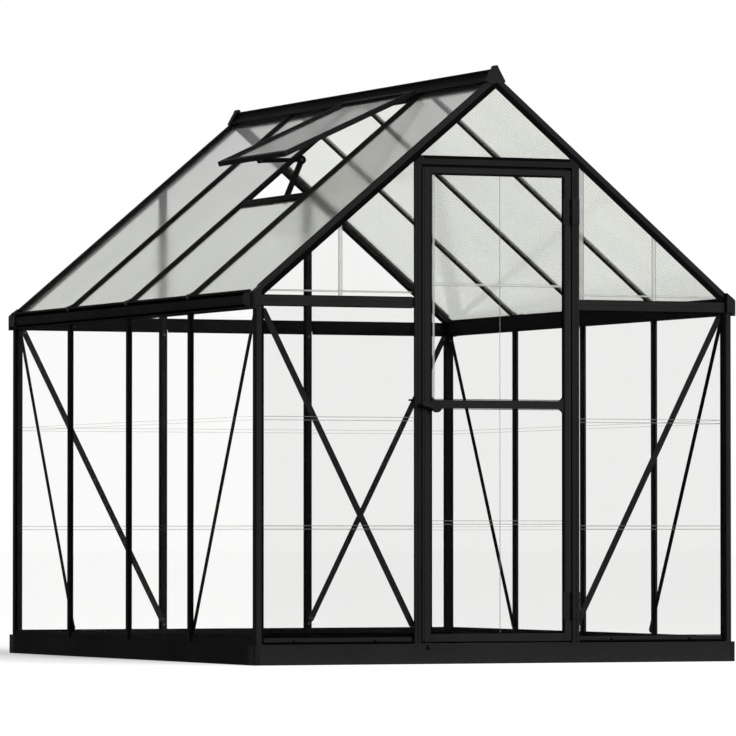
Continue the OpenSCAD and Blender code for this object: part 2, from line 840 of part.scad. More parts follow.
module left_roof_panels() {
    color("#c4c6be", 0.8) to_left()
    for (i = [0 : len(sheet_ends) - 2])
        roof_sheet(i == 1 ? sill_u1 - 6 : sheet_u0, sheet_ends[i] + web_w / 2 + sheet_play,
            sheet_ends[i + 1] - web_w / 2 - sheet_play);
}

// roof window
module window_sill() {
    color("#202021") to_left() slope()
    run_y(-bay + bar_w / 2 + fit, -bar_w / 2 - fit)
        polygon([[sill_u0, -1], [sill_u0 + 5, 0], [sill_u1, -5], [sill_u1, -roof_go], [sill_u1 - 8, -roof_go],
            [sill_u1 - 8, -roof_gi], [sill_u1, -roof_gi], [sill_u1, -roof_gi - 6],
            [sill_u0 + 4, -roof_gi - 10],
            [sill_u0, -roof_gi - 10]]);
}

module window_place() {
    to_left() slope() translate([hinge_u, 0, hinge_w]) rotate([0, -window_open, 0]) children();
}

// one bar of the window leaf, with a sheet groove on its inner side
module window_bar(l) {
    r = window_rail;
    g0 = 6;
    c = 3;
    run_y(0, l)
        polygon([[0, 0], [r, 0], [r, g0], [r - 8, g0], [r - 8, g0 + roof_groove], [r, g0 + roof_groove],
            [r, window_t], [c, window_t], [0, window_t - c]]);
}

module window_frame() {
    w = win_y1 - win_y0;
    l = window_len - win_x0;
    r = window_rail;
    color("#232324") window_place() {
        translate([win_x0, win_y0, 0]) window_bar(w);
        translate([0, win_y0, 0]) rotate([-90, 0, 0]) cylinder(r = bead_r, h = w);
        translate([window_len, win_y0, 0]) mirror([1, 0, 0]) window_bar(w);
        translate([win_x0 + r + joint, win_y1, 0]) rotate([0, 0, -90]) window_bar(l - 2 * r - 2 * joint);
        translate([win_x0 + r + joint, win_y0, 0]) mirror([0, 1, 0]) rotate([0, 0, -90])
            window_bar(l - 2 * r - 2 * joint);
    }
}

module window_panel() {
    r = window_rail - 8 + sheet_play;
    color("#c4c6be", 0.8) window_place()
        translate([win_x0 + r, win_y0 + r, 6 + (roof_groove - roof_t) / 2])
            cube([window_len - win_x0 - 2 * r, win_y1 - win_y0 - 2 * r, roof_t]);
}

// stay: bracket on the sill, lower arm, elbow, upper arm and bracket under the leaf
module stay_arm(p0, p1, y0, w) {
    a = atan2(p1[1] - p0[1], p1[0] - p0[0]);
    l = norm(p1 - p0);
    translate([p0[0], y0, p0[1]]) rotate([0, -a, 0]) {
        translate([0, 0, -w / 2]) cube([l, stay_t, w]);
        for (x = [0, l])
            translate([x, 0, 0]) rotate([-90, 0, 0]) cylinder(r = w / 2 + stay_eye, h = stay_t);
    }
}

module window_stay() {
    a = window_open;
    x1 = window_len - stay_in;
    pa = [hinge_u + x1 * cos(a) + stay_drop * sin(a), hinge_w + x1 * sin(a) - stay_drop * cos(a)];
    pe = [pa[0] - stay_back, pa[1] - stay_down];
    ps = [sill_u0 - stay_reach, -roof_gi - 24.5];
    y0 = win_mid;
    color("#1a1a1b") to_left() slope() {
        stay_arm(ps, pe, y0 - stay_t, stay_low_w);
        stay_arm(pe, pa, y0, stay_w);
        translate([pe[0], y0 - stay_t - stay_head, pe[1]]) rotate([-90, 0, 0])
            cylinder(r = stay_elbow, h = 2 * (stay_t + stay_head));
        run_y(y0 - stay_t - 3, y0 + 3)
            polygon([ps + [-6, -6], ps + [4, -7], [sill_u0, -roof_gi - 9.5], [sill_u0, -roof_gi + 3],
                ps + [4, 7],
                ps + [-6, 6]]);
        translate([hinge_u, 0, hinge_w]) rotate([0, -a, 0])
            translate([x1 - 11, y0 - 3, -stay_drop - 6]) cube([22, stay_t + 6, stay_drop + 6]);
    }
}

// door leaf
module stile(s) {
    x0 = glass_x;
    x1 = leaf_x;
    xb = x0 + stile_step;
    c = 2;
    f = wall_y + leaf_front;
    b = wall_y - leaf_back;
    m = wall_y - door_sheet;
    h = groove_w / 2;
    translate([0, 0, leaf_z0]) linear_extrude(leaf_z1 - leaf_z0)
        polygon([[xb, b], [x1 - c, b], [x1, b + c], [x1, f - c], [x1 - c, f], [x0 + 8, f],
            [x0 + 6.5, f - 1.2],
            [x0 + 5, f], [x0, f], [x0, m + h], [xb + door_groove, m + h], [xb + door_groove, m - h],
            [xb, m - h]]);
}

module door_stiles() {
    color("#262627") to_front() both_x() stile();
}

module door_rails() {
    f = wall_y + leaf_front;
    b = wall_y - leaf_back;
    m = wall_y - door_sheet;
    h = groove_w / 2;
    g = door_groove;
    color("#262627") to_front() {
        run_x(-glass_x, glass_x)
            polygon([[b, leaf_z0], [f, leaf_z0], [f, leaf_z0 + door_rail], [m + h, leaf_z0 + door_rail],
                [m + h, leaf_z0 + door_rail - g], [m - h, leaf_z0 + door_rail - g],
                [m - h, leaf_z0 + door_rail], [b, leaf_z0 + door_rail]]);
        run_x(-glass_x, glass_x)
            polygon([[b, leaf_z1], [f, leaf_z1], [f, leaf_z1 - top_rail], [m + h, leaf_z1 - top_rail],
                [m + h, leaf_z1 - top_rail + g], [m - h, leaf_z1 - top_rail + g],
                [m - h, leaf_z1 - top_rail], [b, leaf_z1 - top_rail]]);
    }
}

module door_mid_rail() {
    f = wall_y + leaf_front;
    b = wall_y - leaf_back;
    m = wall_y - door_sheet;
    k = mid_flare;
    x = glass_x;
    color("#262627") to_front()
    difference() {
        union() {
            run_y(b, f)
                polygon([[-x, mid_z0 - k], [-x + k, mid_z0], [x - k, mid_z0], [x, mid_z0 - k],
                    [x, mid_z1 + k],
                    [x - k, mid_z1], [-x + k, mid_z1], [-x, mid_z1 + k]]);
            translate([-latch_x, f, handle_z]) rotate([-90, 0, 0]) cylinder(r = rose_r, h = rose_t);
            translate([-latch_x, f - 1, handle_z]) rotate([-90, 0, 0]) cylinder(r = rose_r - 6, h = 2);
        }
        translate([-big, m - groove_w / 2, mid_z1 - door_groove]) cube([2 * big, groove_w, 100]);
        translate([-big, m - groove_w / 2, mid_z0 + door_groove - 100]) cube([2 * big, groove_w, 100]);
        translate([-latch_x, 0, handle_z]) rotate([-90, 0, 0]) cylinder(r = spindle_r + pin_gap, h = big);
    }
}

module door_panels() {
    x1 = glass_x + stile_step + door_groove - 1;
    g = door_groove - 1;
    color("#dfe6e6", 0.35) to_front()
    for (z = [[leaf_z0 + door_rail - door_groove + fit, mid_z0 + g],
            [mid_z1 - door_groove + fit, leaf_z1 - top_rail + g]])
        run_x(-x1, x1) translate([wall_y - door_sheet, 0]) polygon(sheet_pts(z[0], z[1], [door_rib]));
}

// hinges on the right of the door: frame half with the pin, leaf half with the middle knuckle
module hinge_plates() {
    k = hinge_h / 3;
    color("#171718") to_front()
    for (z = hinge_z)
        translate([hinge_x, wall_y, z]) {
            translate([5.5, -post_front, 0]) cube([26, hinge_plate, hinge_h]);
            for (dz = [0, hinge_h - k + knuckle_gap])
                translate([0, hinge_s, dz]) {
                    cylinder(r = knuckle_r, h = k - knuckle_gap);
                    translate([0.5, -hinge_s - post_front, 0]) translate([3.5, 0, 0])
                        cube([5.5, hinge_s + post_front, k - knuckle_gap]);
                    translate([0, -2.5, 0]) cube([6, 5, k - knuckle_gap]);
                }
            translate([0, hinge_s, 0]) cylinder(r = pin_r, h = hinge_h);
        }
}

module door_hinge_leaves() {
    k = hinge_h / 3;
    color("#171718") to_front()
    for (z = hinge_z)
        translate([hinge_x, wall_y, z])
        difference() {
            union() {
                translate([-34, leaf_front, 0]) cube([24, hinge_plate, hinge_h]);
                translate([-12, leaf_front, k]) cube([12, hinge_plate, k]);
                translate([0, hinge_s, k]) cylinder(r = knuckle_r, h = k);
                translate([-knuckle_r, leaf_front, k]) cube([knuckle_r, hinge_s - leaf_front, k]);
            }
            translate([0, hinge_s, -1]) cylinder(r = pin_r + pin_gap, h = hinge_h + 2);
        }
}

// latch: outside handle with its spindle through the middle rail, and inside lever
module latch_handle() {
    f = wall_y + leaf_front;
    h0 = f + rose_t + 5;
    color("#171718") to_front()
    translate([-latch_x, 0, handle_z]) {
        translate([0, wall_y - latch_back, 0]) rotate([-90, 0, 0])
            cylinder(r = spindle_r, h = h0 - wall_y + latch_back + 1);
        run_y(h0, h0 + handle_t) union() {
            translate([0, -6]) circle(r = boss_r);
            polygon([[0, 12], [-handle_len + 5, 13], [-handle_len, 9], [-handle_len, 3],
                [-handle_len + 5, -1], [0, -15]]);
        }
    }
}

module latch_arm_plate() {
    color("#171718") to_front()
    translate([-latch_x, 0, handle_z])
        run_y(wall_y - latch_back - arm_t, wall_y - latch_back) union() {
            circle(r = 13);
            polygon([[-3, 11], [latch_arm - 4, 8], [latch_arm, 4], [latch_arm, -4],
                [latch_arm - 4, -8], [-3, -11]]);
        }
}

base_front();
base_rear();
base_left();
base_right();
base_corners();
front_sills();
rear_sills();
left_sills();
right_sills();
corner_posts();
left_wall_posts();
right_wall_posts();
rear_posts();
door_posts();
door_header();
left_gutter();
right_gutter();
gutter_end_caps();
front_gable_rails();
rear_gable_rails();
front_rafters();
rear_rafters();
ridge_beam();
ridge_end_caps();
left_roof_bars();
right_roof_bars();
roof_bar_clips();
side_braces();
end_braces();
left_wall_panels();
right_wall_panels();
front_wall_panels();
rear_wall_panels();
left_roof_panels();
right_roof_panels();
front_gable_panels();
rear_gable_panels();
window_sill();
window_frame();
window_panel();
window_stay();
hinge_plates();
door_stiles();
door_rails();
door_mid_rail();
door_panels();
door_hinge_leaves();
latch_handle();
latch_arm_plate();
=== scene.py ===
import math

import bpy
import bmesh
from mathutils import Matrix, Vector


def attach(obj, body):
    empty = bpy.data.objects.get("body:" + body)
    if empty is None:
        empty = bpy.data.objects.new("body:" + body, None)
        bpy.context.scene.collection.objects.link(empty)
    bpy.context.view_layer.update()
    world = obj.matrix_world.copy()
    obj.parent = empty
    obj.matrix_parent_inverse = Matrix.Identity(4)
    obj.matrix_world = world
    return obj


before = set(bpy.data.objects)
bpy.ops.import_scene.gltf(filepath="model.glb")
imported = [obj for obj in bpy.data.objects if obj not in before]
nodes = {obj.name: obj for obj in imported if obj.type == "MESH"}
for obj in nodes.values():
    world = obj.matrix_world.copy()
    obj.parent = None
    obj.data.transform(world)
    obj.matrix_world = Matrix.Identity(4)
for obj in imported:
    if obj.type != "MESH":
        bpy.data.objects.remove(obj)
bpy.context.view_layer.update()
MM = 0.001

# camera, fitted to the photograph: place in metres, focal length in pixels of the photo
CAMERA_TURN = math.radians(23.3400)
CAMERA_TILT = math.radians(1.6012)
CAMERA_PLACE = (-8.7756, -20.4158, 0.4450)
FOCAL_PX = 6019.4
PHOTO_PX = 736.0
SENSOR_MM = 36.0

# roof of the part in mm: pitch, height of the apex, heights at which the gable rafters are cut level
PITCH = math.radians(40.0)
APEX = 2065.29
FRONT_RAFTER_FOOT = 1278.4
REAR_RAFTER_FOOT = 1284.9

# faces that trim lies on, in mm: sheets, bars of the leaf, door case, corner posts, sills and base
END_SHEET = 1208.75
SIDE_SHEET = 910.25
DOOR_SHEET = -1221.0
LEAF_FACE = -1229.0
CASE_FACE = -1224.0
CORNER_FACE = 1225.5
SILL_FACE = 1212.4
BASE_TOP = 71.0

# inner faces of the flat bars and of the posts
END_BRACE_IN = 1201.0
SIDE_BRACE_IN = 898.5
SIDE_POST_IN = 901.5
END_POST_IN = 1204.0

# clear widths between the bars, and clear heights of the two sheets of the leaf
FRONT_BAYS = ((-886.0, -318.0), (318.0, 886.0))
REAR_BAYS = ((-886.0, -318.0), (-287.0, 287.0), (318.0, 886.0))
SIDE_BAYS = ((-1190.0, -619.0), (-593.0, -13.0), (13.0, 593.0), (619.0, 1190.0))
SIDE_POSTS = (-606, 0, 606)
LEAF_HALF = 252.0
LOWER_PANE = (105.0, 891.0)
UPPER_PANE = (922.0, 1709.0)

# heights of the rib edges in the wall sheets and in the lower sheet of the leaf
RIB_LINES = (470.0, 482.0, 847.0, 859.0)
DOOR_RIB_LINES = (487.0, 499.0)

# pins of the window stay: down the slope, out of the slope, and their two ends along the house
STAY_PINS = ((567.9, 133.6, -306.0, -296.0), (588.2, -38.5, -310.0, -300.0), (439.9, 35.6, -308.0, -298.0))

# turned heads: radius and height pairs
BUTTON = [(0, 0.9), (1.7, 0.9), (1.9, 2.7), (3.0, 2.6), (4.3, 1.9), (5.0, 0.8), (5.0, 0)]
PAN = [(0, 0.7), (1.2, 0.7), (1.35, 1.7), (2.2, 1.7), (3.2, 1.1), (3.6, 0.3), (3.6, 0)]
RIVET = [(0, 2.2), (1.8, 2.0), (3.4, 1.3), (4.2, 0)]
NUT = [(0, 6.0), (2.3, 6.0), (2.4, 4.2), (4.2, 4.2), (5.0, 3.5), (5.0, 0)]
PEG = [(0, 9.0), (4.5, 9.0), (7.0, 7.6), (8.2, 4.6), (8.2, 1.6), (9.6, 1.2), (9.6, 0)]
CAP = [(0, 1.6), (3.0, 1.5), (5.6, 0.9), (6.4, 0)]

# outlines of small trim; the first number lies away from the middle of the house
SILL_CLIP = [(SILL_FACE, 79.0), (1225.0, 79.0), (1227.0, 81.0), (1225.0, 86.0), (SILL_FACE, 86.0)]
SILL_SEAL = [(SILL_FACE, BASE_TOP), (1222.0, BASE_TOP), (1226.0, 75.0), (1226.6, 77.0), (1225.2, 79.0),
             (SILL_FACE, 79.4)]
GUTTER_CLIP = [(924.0, 1301.0), (930.0, 1301.5), (933.4, 1298.5), (935.0, 1291.0), (934.0, 1284.0),
               (931.0, 1282.0), (930.4, 1291.0), (928.0, 1297.6), (924.0, 1297.6)]
RAFTER_STRIP = [(1212.2, -36.3), (1212.2, -28.0), (1213.0, -27.0), (1213.0, -17.5), (1213.5, -18.0),
                (1213.5, -35.8)]
CATCH_PLATE = [(-296.0, 911.0), (-312.0, 911.0), (-314.0, 916.0), (-330.0, 917.0), (-332.0, 920.0),
               (-330.0, 923.0), (-314.0, 924.0), (-312.0, 929.0), (-296.0, 929.0)]
LEAF_LIP = [(-282.8, -1228.6), (-288.6, -1228.6), (-290.0, -1227.6), (-290.0, -1226.2), (-282.8, -1226.2)]
WINDOW_CLIP = [(634.2, -9.6), (643.6, -9.6), (643.6, -6.5), (634.2, -4.5)]


def add_camera():
    az, tilt = CAMERA_TURN, CAMERA_TILT
    fwd = Vector((math.sin(az) * math.cos(tilt), math.cos(az) * math.cos(tilt), math.sin(tilt)))
    right = Vector((math.cos(az), -math.sin(az), 0.0))
    up = right.cross(fwd)
    m = Matrix((right, up, -fwd)).transposed().to_4x4()
    m.translation = Vector(CAMERA_PLACE)
    cam = bpy.data.cameras.new("camera")
    cam.sensor_width = SENSOR_MM
    cam.lens = FOCAL_PX / PHOTO_PX * SENSOR_MM
    cam.clip_start, cam.clip_end = 0.1, 400.0
    ob = bpy.data.objects.new("camera", cam)
    ob.matrix_world = m
    bpy.context.collection.objects.link(ob)
    bpy.context.scene.camera = ob


class Tree:
    """Node tree of a material or of the world. Its calls add a node and give back the node's output."""

    def __init__(self, owner, output):
        owner.use_nodes = True
        self.owner = owner
        self.t = owner.node_tree
        self.t.nodes.clear()
        self.out = self.add(output)

    def add(self, kind, **values):
        n = self.t.nodes.new(kind)
        for k, v in values.items():
            setattr(n, k, v)
        return n

    def link(self, a, b):
        self.t.links.new(a, b)

    def coords(self, scale=(1, 1, 1)):
        c = self.add("ShaderNodeTexCoord")
        m = self.add("ShaderNodeMapping")
        m.inputs["Scale"].default_value = scale
        self.link(c.outputs["Object"], m.inputs["Vector"])
        return m.outputs["Vector"]

    def axis(self, letter):
        c = self.add("ShaderNodeTexCoord")
        s = self.add("ShaderNodeSeparateXYZ")
        self.link(c.outputs["Object"], s.inputs[0])
        return s.outputs[letter]

    def noise(self, vec, scale, detail=4.0, rough=0.6):
        n = self.add("ShaderNodeTexNoise")
        n.inputs["Scale"].default_value = scale
        n.inputs["Detail"].default_value = detail
        n.inputs["Roughness"].default_value = rough
        self.link(vec, n.inputs["Vector"])
        return n.outputs["Fac"]

    def ramp(self, fac, stops):
        r = self.add("ShaderNodeValToRGB")
        el = r.color_ramp.elements
        while len(el) > 1:
            el.remove(el[-1])
        for i, (p, c) in enumerate(stops):
            e = el[0] if i == 0 else el.new(p)
            e.position = p
            e.color = (*c, 1.0) if isinstance(c, tuple) else (c, c, c, 1.0)
        self.link(fac, r.inputs["Fac"])
        return r.outputs["Color"]

    def map(self, value, start, end, low=0.0, high=1.0):
        m = self.add("ShaderNodeMapRange")
        m.inputs["From Min"].default_value = start
        m.inputs["From Max"].default_value = end
        m.inputs["To Min"].default_value = low
        m.inputs["To Max"].default_value = high
        self.link(value, m.inputs["Value"])
        return m.outputs[0]

    def bump(self, height, strength, distance):
        b = self.add("ShaderNodeBump")
        b.inputs["Strength"].default_value = strength
        b.inputs["Distance"].default_value = distance
        self.link(height, b.inputs["Height"])
        return b.outputs["Normal"]

    def math(self, op, a, b=None):
        n = self.add("ShaderNodeMath", operation=op)
        for i, v in enumerate((a, b)):
            if v is None:
                continue
            if isinstance(v, (int, float)):
                n.inputs[i].default_value = v
            else:
                self.link(v, n.inputs[i])
        return n.outputs[0]

    def times(self, a, b):
        return self.math("MULTIPLY", a, b)

    def weigh(self, a, share_a, b, share_b):
        return self.math("ADD", self.times(a, share_a), self.times(b, share_b))

    def blend(self, fac, a, b):
        m = self.add("ShaderNodeMix", data_type="RGBA")
        self.link(fac, m.inputs["Factor"])
        for s, v in ((m.inputs[6], a), (m.inputs[7], b)):
            if isinstance(v, tuple):
                s.default_value = (*v, 1.0)
            else:
                self.link(v, s)
        return m.outputs[2]

    def principled(self, **values):
        p = self.add("ShaderNodeBsdfPrincipled")
        for k, v in values.items():
            p.inputs[k].default_value = v
        return p

    def clear(self, tint):
        c = self.add("ShaderNodeBsdfTransparent")
        c.inputs["Color"].default_value = (*tint, 1)
        return c.outputs[0]

    def mix(self, fac, a, b):
        m = self.add("ShaderNodeMixShader")
        for i, v in enumerate((fac, a, b)):
            self.link(v, m.inputs[i])
        return m.outputs[0]

    def shaded(self, shader, tint):
        """The same shader, which lets only part of the lamps' light on to what is behind it."""
        path = self.add("ShaderNodeLightPath")
        return self.mix(path.outputs["Is Shadow Ray"], shader, self.clear(tint))

    def done(self, shader):
        self.link(shader, self.out.inputs["Surface"])
        return self.owner


def material(name):
    return Tree(bpy.data.materials.new(name), "ShaderNodeOutputMaterial")


def grey(v):
    return (v, v, v)


def scaled(tone, k):
    return tuple(k * c for c in tone)


# dark powder coat on an extruded bar: fine grain, faint die lines along the bar, dust near the ground
def powder_coat(name, tone, stretch, rough=(0.5, 0.64), grain=700.0):
    t = material(name)
    v = t.coords()
    cloud = t.noise(v, 2.6, 5.0)
    fine = t.noise(v, grain, 2.0)
    lines = t.noise(t.coords(stretch), 1.0, 2.0)
    dusty = tuple(1.9 * c + 0.004 for c in tone)
    coat = t.ramp(t.weigh(cloud, 0.75, lines, 0.25), [(0.3, scaled(tone, 0.82)), (0.7, scaled(tone, 1.15))])
    low = t.ramp(t.axis("Z"), [(0.0, 1.0), (0.06, 0.25), (0.2, 0.0)])
    dust = t.times(t.times(low, t.noise(v, 38.0, 5.0, 0.7)), 0.55)
    p = t.principled(**{"Specular IOR Level": 0.005})
    t.link(t.blend(dust, coat, dusty), p.inputs["Base Color"])
    t.link(t.ramp(t.weigh(cloud, 0.7, fine, 0.3), [(0.3, rough[1]), (0.7, rough[0])]), p.inputs["Roughness"])
    t.link(t.bump(t.weigh(fine, 0.5, lines, 0.5), 0.22, 0.0004), p.inputs["Normal"])
    return t.done(p.outputs[0])


# moulded plastic or rubber: pebbled grain, slightly scuffed
def moulded(name, tone, spec=0.02):
    t = material(name)
    v = t.coords()
    pebble = t.add("ShaderNodeTexVoronoi", feature="SMOOTH_F1")
    pebble.inputs["Scale"].default_value = 620.0
    t.link(v, pebble.inputs["Vector"])
    cloud = t.noise(v, 18.0, 5.0)
    scuff = t.noise(t.coords((60, 60, 420)), 1.0, 3.0, 0.7)
    p = t.principled(**{"Specular IOR Level": spec})
    t.link(t.ramp(t.weigh(cloud, 0.6, scuff, 0.4), [(0.3, scaled(tone, 0.75)), (0.7, scaled(tone, 1.25))]),
           p.inputs["Base Color"])
    t.link(t.ramp(scuff, [(0.35, 0.62), (0.7, 0.42)]), p.inputs["Roughness"])
    t.link(t.bump(pebble.outputs["Distance"], 0.25, 0.0005), p.inputs["Normal"])
    return t.done(p.outputs[0])


# zinc-plated steel of nuts, bolts and rivets
def plated(name, tone, metallic):
    t = material(name)
    v = t.coords()
    cloud = t.noise(v, 90.0, 4.0)
    fine = t.noise(v, 1500.0, 2.0)
    p = t.principled(**{"Metallic": metallic, "Specular IOR Level": 0.3})
    t.link(t.ramp(cloud, [(0.3, scaled(tone, 0.75)), (0.7, scaled(tone, 1.15))]), p.inputs["Base Color"])
    t.link(t.ramp(cloud, [(0.3, 0.46), (0.7, 0.34)]), p.inputs["Roughness"])
    t.link(t.bump(fine, 0.2, 0.0003), p.inputs["Normal"])
    return t.done(p.outputs[0])


# thin clear sheet: shows what is behind it, shines towards its edges, a little dust low down
def clear_sheet(name, tint, haze):
    t = material(name)
    v = t.coords()
    p = t.principled(**{"Metallic": 1.0, "Specular IOR Level": 0.5})
    speck = t.noise(v, 260.0, 3.0, 0.7)
    t.link(t.ramp(speck, [(0.4, (0.95, 0.965, 0.96)), (0.7, (0.86, 0.87, 0.86))]), p.inputs["Base Color"])
    t.link(t.ramp(speck, [(0.4, 0.05), (0.7, 0.14)]), p.inputs["Roughness"])
    t.link(t.bump(t.noise(v, 2.2, 3.0), 0.12, 0.004), p.inputs["Normal"])
    fres = t.add("ShaderNodeFresnel")
    fres.inputs["IOR"].default_value = 1.4
    face = t.add("ShaderNodeNewGeometry")
    outer = t.math("SUBTRACT", 1.0, face.outputs["Backfacing"])
    shine = t.times(t.times(fres.outputs[0], outer), 0.03)
    low = t.ramp(t.axis("Z"), [(0.05, 1.0), (0.22, 0.2), (0.6, 0.0)])
    dust = t.times(t.times(low, t.noise(v, 30.0, 5.0, 0.7)), haze)
    sheet = t.mix(t.math("ADD", shine, dust), t.clear(tint), p.outputs[0])
    return t.done(t.shaded(sheet, grey(0.45)))


# seam or bead in a clear sheet: a grey line that lets part of the light through
def seam(name, tone, cover):
    t = material(name)
    spots = t.noise(t.coords(), 25.0, 4.0)
    p = t.principled(**{"Roughness": 0.3, "Specular IOR Level": 0.4})
    t.link(t.ramp(spots, [(0.3, scaled(tone, 0.85)), (0.7, tone)]), p.inputs["Base Color"])
    fac = t.ramp(spots, [(0.25, 0.8 * cover), (0.75, cover)])
    return t.done(t.mix(fac, t.clear(grey(1)), p.outputs[0]))


# twin-wall sheet: flutes run down the slope, so stripes lie side by side along the house
FLUTE_PITCH = 0.0065
BAND_PITCH = 0.027


def twin_wall(name, low, high, ior, stripe=0.1, painted_ridge_shade=None):
    t = material(name)
    y = t.axis("Y")
    fine = t.math("SINE", t.times(y, 2 * math.pi / FLUTE_PITCH))
    broad = t.math("SINE", t.times(y, 2 * math.pi / BAND_PITCH))
    cloud = t.noise(t.coords(), 2.5, 4.0)
    tone = t.math("ADD", t.weigh(fine, 0.12, broad, stripe), t.times(cloud, 0.55))
    p = t.principled(**{"Transmission Weight": 0.9, "IOR": ior, "Specular IOR Level": 0.5})
    sheet = t.ramp(tone, [(0.0, low), (0.6, high)])
    # painted shade: between 1.6 m and 1.9 m high the sheet's colour blends into one flat grey towards the
    # ridge
    if painted_ridge_shade:
        sheet = t.blend(t.map(t.axis("Z"), 1.6, 1.9), sheet, painted_ridge_shade)
    t.link(sheet, p.inputs["Base Color"])
    t.link(t.ramp(cloud, [(0.3, 0.13), (0.7, 0.1)]), p.inputs["Roughness"])
    t.link(t.bump(cloud, 0.05, 0.0004), p.inputs["Normal"])
    return t.done(t.shaded(p.outputs[0], (0.35, 0.355, 0.34)))


# stretch of the die lines for bars along each axis and down the slopes ("s")
ALONG = {"x": (3, 420, 420), "y": (420, 3, 420), "z": (420, 420, 3), "s": (120, 420, 120)}
COAT = (0.021, 0.021, 0.0215)
BASE_COAT = (0.0205, 0.0205, 0.0208)


def make_materials():
    m = {}
    for k, s in ALONG.items():
        m["coat_" + k] = powder_coat("frame_coat_" + k, COAT, s)
    for k in "xy":
        m["base_" + k] = powder_coat("base_coat_" + k, BASE_COAT, ALONG[k], (0.54, 0.68), 420.0)
    # painted shade: the door header and the door posts get darker copies of the frame coat
    m["case_shaded_x"] = powder_coat("door_case_shaded_coat_x", (0.0155, 0.0155, 0.016), ALONG["x"])
    m["case_shaded_z"] = powder_coat("door_case_shaded_coat_z", (0.0180, 0.0180, 0.0185), ALONG["z"])
    # painted light and shade: the side braces and the window stay get a darker copy of the frame coat, the
    # end braces a much lighter one
    m["brace"] = powder_coat("brace_coat", grey(0.012), ALONG["s"])
    m["end_brace"] = powder_coat("end_brace_lit_coat", grey(0.055), ALONG["s"])
    # painted shade: the rear gable rails and the ridge beam get darker copies of the frame coat
    m["rear_rail"] = powder_coat("rear_rail_shaded_coat", (0.0105, 0.0105, 0.0108), ALONG["x"])
    m["ridge"] = powder_coat("ridge_shaded_coat", (0.011, 0.011, 0.0113), ALONG["y"])
    m["seal"] = moulded("black_rubber_and_shade", grey(0.004), 0.0)
    m["plastic"] = moulded("black_plastic", grey(0.016))
    m["grey_plastic"] = moulded("grey_plastic", grey(0.06))
    m["steel"] = plated("dark_plated_steel", grey(0.10), 0.6)
    m["front_sheet"] = clear_sheet("clear_front_sheet", (0.928, 0.930, 0.926), 0.002)
    m["gable_sheet"] = clear_sheet("clear_gable_sheet", (0.955, 0.957, 0.953), 0.0)
    m["sheet"] = clear_sheet("clear_sheet", (0.988, 0.990, 0.987), 0.002)
    # painted light: the three twin-wall sheets are lit and shaded copies of one sheet; the left slope and
    # the roof window are painted darker, the right slope lighter and more striped
    m["twin_shaded_left"] = twin_wall("twin_wall_shaded_left", (0.62, 0.63, 0.595), (0.70, 0.71, 0.675), 1.05,
                               painted_ridge_shade=grey(0.645))
    m["twin_lit_right"] = twin_wall("twin_wall_lit_right", (0.83, 0.84, 0.80), (0.985, 0.995, 0.95), 1.2, stripe=0.3)
    m["twin_shaded_window"] = twin_wall("twin_wall_shaded_window", (0.41, 0.415, 0.40), (0.48, 0.485, 0.47), 1.03)
    m["seam"] = seam("sheet_seam", (0.30, 0.305, 0.29), 0.55)
    m["seam_side"] = seam("sheet_seam_side", (0.45, 0.46, 0.44), 0.22)
    m["joiner_post"] = seam("sheet_joiner_at_post", (0.36, 0.365, 0.35), 0.68)
    m["joiner"] = seam("sheet_joiner", (0.56, 0.57, 0.53), 0.62)
    return m


# nodes by material; edges of the bars are softened, sheets stay sharp
BARS = {
    "coat_x": ["front_sills", "rear_sills", "front_gable_rails", "door_rails", "door_mid_rail"],
    "coat_y": ["left_sills", "right_sills", "left_gutter", "right_gutter", "window_sill"],
    "coat_z": ["corner_posts", "left_wall_posts", "right_wall_posts", "rear_posts", "door_stiles"],
    "coat_s": ["front_rafters", "rear_rafters", "left_roof_bars", "right_roof_bars", "window_frame"],
    "case_shaded_x": ["door_header"],
    "case_shaded_z": ["door_posts"],
    "base_x": ["base_front", "base_rear"],
    "base_y": ["base_left", "base_right"],
    "brace": ["side_braces", "window_stay"],
    "end_brace": ["end_braces"],
    "ridge": ["ridge_beam"],
    "rear_rail": ["rear_gable_rails"],
    "plastic": ["base_corners", "gutter_end_caps", "ridge_end_caps", "roof_bar_clips", "hinge_plates",
                "door_hinge_leaves", "latch_handle", "latch_arm_plate"],
}
SHEETS = {
    "front_sheet": ["front_wall_panels", "door_panels"],
    "gable_sheet": ["front_gable_panels"],
    "sheet": ["left_wall_panels", "right_wall_panels", "rear_wall_panels", "rear_gable_panels"],
    "twin_shaded_left": ["left_roof_panels"],
    "twin_shaded_window": ["window_panel"],
    "twin_lit_right": ["right_roof_panels"],
}


def soften(ob, width):
    bev = ob.modifiers.new("edge", "BEVEL")
    bev.width = width * MM
    bev.segments = 2
    bev.limit_method = "ANGLE"
    bev.angle_limit = math.radians(35)


def dress_cad(mats):
    finish = {n: k for table in (BARS, SHEETS) for k, names in table.items() for n in names}
    for name, ob in nodes.items():
        ob.data.materials.clear()
        ob.data.materials.append(mats[finish[name]])
        if finish[name] in BARS:
            soften(ob, 0.5)


# mesh helpers, all in mm in the part's frame
def put(bm, pts):
    return [bm.verts.new(Vector(p) * MM) for p in pts]


def loft(bm, start, end):
    """Closed body between two outlines that have the same number of points."""
    a, b = put(bm, start), put(bm, end)
    bm.faces.new(a)
    bm.faces.new(b[::-1])
    for i in range(len(a)):
        j = (i + 1) % len(a)
        bm.faces.new((a[i], b[i], b[j], a[j]))


def prism(bm, pts, axis, a0, a1):
    """Closed outline drawn out along an axis. Outline points are the other two coordinates in order."""
    def at(p, a):
        return {"x": (a, p[0], p[1]), "y": (p[0], a, p[1]), "z": (p[0], p[1], a)}[axis]
    loft(bm, [at(p, a0) for p in pts], [at(p, a1) for p in pts])


